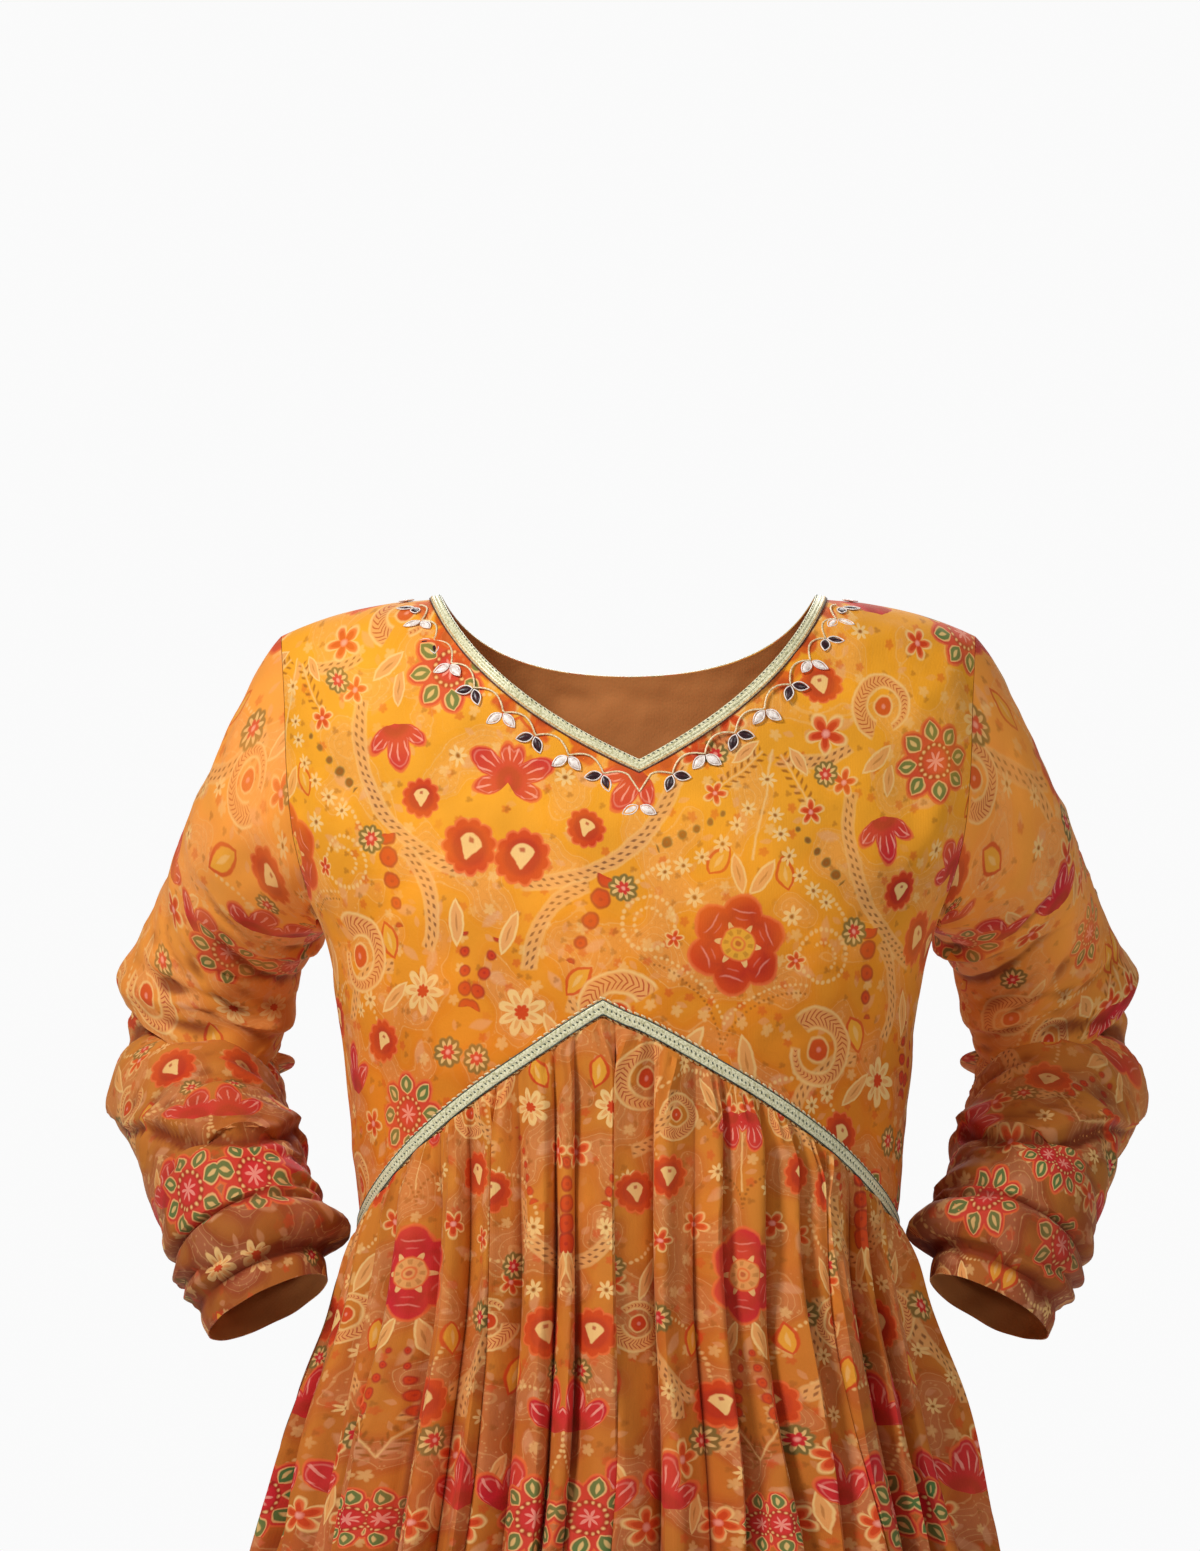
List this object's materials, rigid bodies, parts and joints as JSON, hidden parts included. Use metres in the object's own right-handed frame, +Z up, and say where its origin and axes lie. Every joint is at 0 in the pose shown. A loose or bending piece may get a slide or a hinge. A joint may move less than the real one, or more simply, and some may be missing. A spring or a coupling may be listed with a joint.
{
  "type": "anarkali gown",
  "caption": "Full-length gown with a V neck, peaked waist seam, pleated flared skirt and long sleeves bent with the cuffs at the hips.",
  "frame": {"origin": "midway between the shoulders, level with the tops of the shoulder seams, where the wearer's shoulders carry the gown", "axes": "+Z up, the front of the gown faces -Y, +X is the wearer's left"},
  "size_m": [0.9623, 0.8708, 1.3835],
  "materials": {
    "cloth": "sheer printed georgette over plain backing, matt",
    "trim": "woven pale-gold braid, satin"
  },
  "bodies": {
    "root": {"bodice_front": "cloth", "bodice_back": "cloth", "sleeve_left": "cloth", "sleeve_right": "cloth", "skirt_front": "cloth", "skirt_back": "cloth", "neck_trim": "trim", "waist_trim": "trim"}
  },
  "joints": []
}
